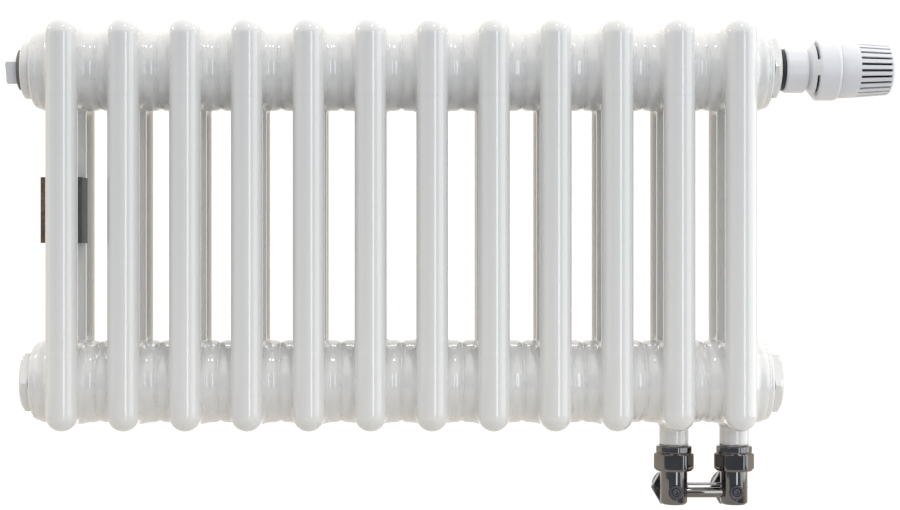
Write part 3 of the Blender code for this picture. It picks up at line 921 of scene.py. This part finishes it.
def valve_housing(name, x, nut_end, body_end):
    """The angle body: upright barrel, outlet at the back with its hexagon collar, and its ways."""
    at, axis = below(x), below(x, FLOW_AXIS)
    outline = [
        (0, body_end),
        (9.6, body_end, 0.6),
        (11.15, body_end + 1.6, 0.8),
        (11.15, nut_end + 2.3, 0.3),
        (11.15, nut_end + 4.0, 0.3),
        (0, nut_end + 4.0),
    ]
    barrel = lathed(f"{name}_barrel", outline, at, Z_UP, sides=96)
    outline = [(0, 1.0), (9.8, 1.0), (9.8, 22.0), (0, 22.0)]
    neck = lathed("neck", outline, axis, Y_BACK, sides=90)
    outline = [
        (0, 18.9),
        (13.6, 18.9, 0.4),
        (16.2, 20.2, 0.5),
        (16.2, 25.4, 0.5),
        (13.8, 26.6, 0.3),
        (0, 26.6),
    ]
    hexagon = lathed("hexagon", outline, axis, Y_BACK, sides=96, steps=6, flats=(27.5, 6, 0))
    outline = [(0, 24.0), (12.2, 24.0)]
    for ridge in range(THREAD_RIDGES):
        start = 27.2 + ridge * THREAD_PITCH
        outline += [(12.2, start, 0.2), (13.1, start + 0.5, 0.2), (13.1, start + 1.1, 0.2)]
    outline += [(12.2, 38.2, 0.3), (11.6, 39.0, 0.3), (0, 39.0)]
    thread = lathed("thread", outline, axis, Y_BACK, sides=84)
    solid = carved(barrel, [neck, hexagon, thread], "UNION")
    flow = lathed("flow", [(0, 3), (7.1, 3), (7.1, 45), (0, 45)], axis, Y_BACK, sides=60)
    keyhole = lathed("keyhole", [(0, 3), (5.4, 3), (5.4, 20), (0, 20)], axis, -Y_BACK, sides=54)
    mesh = carved(solid, [flow, keyhole])
    replaced = [f"{name}_valve_body"]
    keep(f"{name}_housing", mesh, "dark_chrome", "radiator", replaced)


def valve_block():
    """The two isolating valves with the tube and the rod between them."""
    stubs = [BLOCK_END - PITCH * part + STUB_OFFSET for part in (1.5, 0.5)]
    for name, x in zip(("return", "supply"), stubs):
        isolating_valve(name, x)
    middle = below(sum(stubs) / 2, FLOW_AXIS - 1.3)
    reach = PITCH / 2 - 10.0
    outline = ring_outline(3.0, 4.3, -reach, reach, 0.1)
    turned(
        "cross_tube", outline, middle, X_OUT, "dark_chrome", "radiator", "dark_chrome",
        ["bypass_tube"],
    )
    outline = [(0, -17), (1.2, -17), (1.2, 17), (0, 17)]
    turned(
        "cross_rod", outline, middle + Vector((0, 8.0, 5.9)) * MM, X_OUT, "steel", "radiator",
        "steel", ["tie_rod"], sides=24,
    )


def label():
    """A plate behind the first column's front tube, bent back at both sides."""
    height = 54.0
    behind = -ROW_SPACING + TUBE_RADIUS + 1.2
    at = Vector((FIRST_COLUMN, behind, MIDDLE + 12.3))
    levels = [-height / 2, -height / 2 + 0.6, height / 2 - 0.6, height / 2]
    wing = [(-20.4, 2.2), (-19.8, 2.1), (-14.2, 0.8), (-9.6, 0.05)]
    face = [
        (-9.6, 0.05), (-8.0, 0), (0, 0), (11.4, 0), (12.4, 0.15), (12.85, 0.9),
        (12.95, 2.4), (13.65, 21.4), (13.7, 22),
    ]
    for name, look, stations in (
        ("label_wing", "label_wing", wing), ("label_sheet", "label_front", face)
    ):
        shape = bmesh.new()
        grid = [
            [shape.verts.new((at + Vector((x, y, z))) * MM) for x, y in stations]
            for z in levels
        ]
        for low, high in zip(grid, grid[1:]):
            for k in range(len(stations) - 1):
                shape.faces.new((low[k], low[k + 1], high[k + 1], high[k]))
        mesh = mesh_of(name, shape, 60)
        sheet = keep(name, mesh, look, "radiator", ["label_plate"])
        add_wall(sheet, 1.2, 0)
        round_edges(sheet, 0.25)


def finish_carried_nodes():
    """Each CAD node that still shows gets its slot's material."""
    slots = {part["node"]: part["material_slot"] for part in frame["record"]["subparts"]}
    for name, node in frame["nodes"].items():
        if node.hide_render:
            continue
        node.data.materials.clear()
        node.data.materials.append(LOOKS[slots[name]])


def shorten_spring():
    """Gives the return spring a mesh of its own."""
    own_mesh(frame["nodes"]["return_spring"])


make_camera()
make_world()
area_light("strip", 21.5, 4, 2.4, (0.5, 1.6), 7.8, (0.86, 0.94, 1))
area_light("side_box", 80, 6, 2.4, (2.9, 1.6), 20, (0.88, 0.95, 1))
area_light("left_fill", -72, 12, 2.6, (2.6, 1.8), 6, (0.97, 0.985, 1))
area_light("lamp_right", 90, 43, 2.2, (0.3, 0.16), 5)
area_light("lamp_back", 180, 56, 2.2, (1.1, 0.08), 2.4)
area_light("lamp_front", 18, 63, 2.2, (0.2, 0.2), 3.6)
area_light("lamp_left", -104, 30, 2.2, (0.25, 0.25), 1.5)
make_floor()
columns()
weld_beads()
end_fittings()
head_at = end_point(1, TOP_AXIS)
valve_connection(head_at)
head_shell(head_at)
slotted_cap(head_at)
valve_block()
label()
finish_carried_nodes()
shorten_spring()
SCENE.view_settings.view_transform = "Standard"
